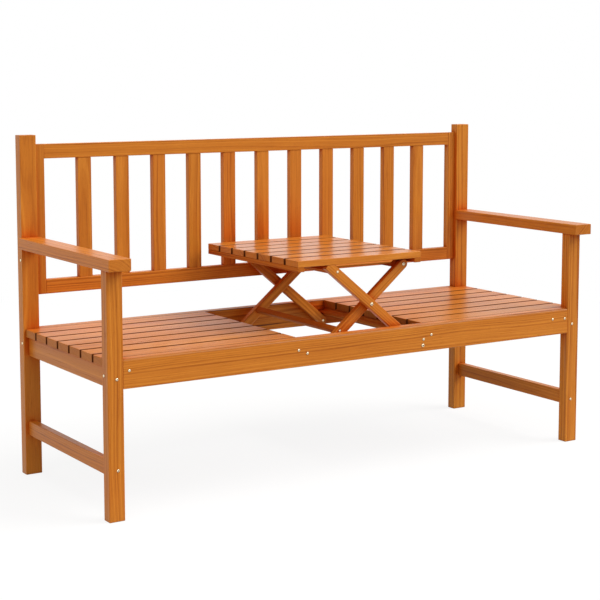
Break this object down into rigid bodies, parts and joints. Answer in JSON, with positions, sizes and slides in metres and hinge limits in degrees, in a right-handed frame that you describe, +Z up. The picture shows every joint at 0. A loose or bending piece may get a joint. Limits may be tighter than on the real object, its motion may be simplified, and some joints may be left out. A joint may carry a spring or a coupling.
{
  "type": "garden bench with rising table",
  "caption": "Slatted wooden garden bench with armrests and a slatted back; a slatted centre table rises out of the seat on crossed folding legs.",
  "frame": {"origin": "centre of the bounding box on the floor, with the table raised", "axes": "+X to the bench's right as seen from in front, +Y to its back, +Z up"},
  "size_m": [1.504, 0.571, 0.898],
  "materials": {
    "frame_wood": "satin varnish, orange brown",
    "slat_wood": "satin varnish, orange brown",
    "leg_wood": "satin varnish, orange brown"
  },
  "bodies": {
    "frame": {"front_leg_left": "frame_wood", "front_leg_right": "frame_wood", "rear_post_left": "frame_wood", "rear_post_right": "frame_wood", "armrest_left": "frame_wood", "armrest_right": "frame_wood", "side_rail_left": "frame_wood", "side_rail_right": "frame_wood", "side_stretcher_left": "frame_wood", "side_stretcher_right": "frame_wood", "front_apron": "frame_wood", "rear_rail": "frame_wood", "well_bearer_left": "frame_wood", "well_bearer_right": "frame_wood", "back_stile_left": "frame_wood", "back_stile_right": "frame_wood", "back_bottom_rail": "frame_wood", "back_top_rail": "frame_wood", "back_slat_01": "slat_wood", "back_slat_02": "slat_wood", "back_slat_03": "slat_wood", "back_slat_04": "slat_wood", "back_slat_05": "slat_wood", "back_slat_06": "slat_wood", "back_slat_07": "slat_wood", "back_slat_08": "slat_wood", "back_slat_09": "slat_wood", "back_slat_10": "slat_wood", "back_slat_11": "slat_wood", "seat_slat_left_1": "slat_wood", "seat_slat_left_2": "slat_wood", "seat_slat_left_3": "slat_wood", "seat_slat_left_4": "slat_wood", "seat_slat_left_5": "slat_wood", "seat_slat_left_6": "slat_wood", "seat_slat_left_7": "slat_wood", "seat_slat_right_1": "slat_wood", "seat_slat_right_2": "slat_wood", "seat_slat_right_3": "slat_wood", "seat_slat_right_4": "slat_wood", "seat_slat_right_5": "slat_wood", "seat_slat_right_6": "slat_wood", "seat_slat_right_7": "slat_wood"},
    "outer_legs": {"outer_leg_front": "leg_wood", "outer_leg_rear": "leg_wood", "outer_tie_bar": "leg_wood"},
    "inner_legs": {"inner_leg_front": "leg_wood", "inner_leg_rear": "leg_wood", "inner_tie_bar": "leg_wood"},
    "table": {"table_slat_1": "slat_wood", "table_slat_2": "slat_wood", "table_slat_3": "slat_wood", "table_slat_4": "slat_wood", "table_slat_5": "slat_wood", "table_slat_6": "slat_wood", "table_slat_7": "slat_wood", "table_batten_left": "slat_wood", "table_batten_right": "slat_wood", "table_front_lip": "slat_wood", "table_hinge_rail": "leg_wood"}
  },
  "joints": [
    {"name": "table_fold", "type": "hinge", "parent": "frame", "child": "outer_legs", "pos_m": [0.183, 0.015, 0.3345], "axis": [0, -1, 0], "range_deg": [0, 35.65]},
    {"name": "leg_crossing", "type": "hinge", "parent": "outer_legs", "child": "inner_legs", "pos_m": [0.03781, 0.015, 0.45394], "axis": [0, -1, 0], "range_deg": [-71.3, 0.01]},
    {"name": "table_hinge", "type": "hinge", "parent": "inner_legs", "child": "table", "pos_m": [0.1552, 0.015, 0.5505], "axis": [0, -1, 0], "range_deg": [-0.01, 35.66]}
  ],
  "couplings": [
    {"joint": "leg_crossing", "follows": "table_fold", "ratio": -2},
    {"joint": "table_hinge", "follows": "table_fold", "ratio": 1}
  ]
}
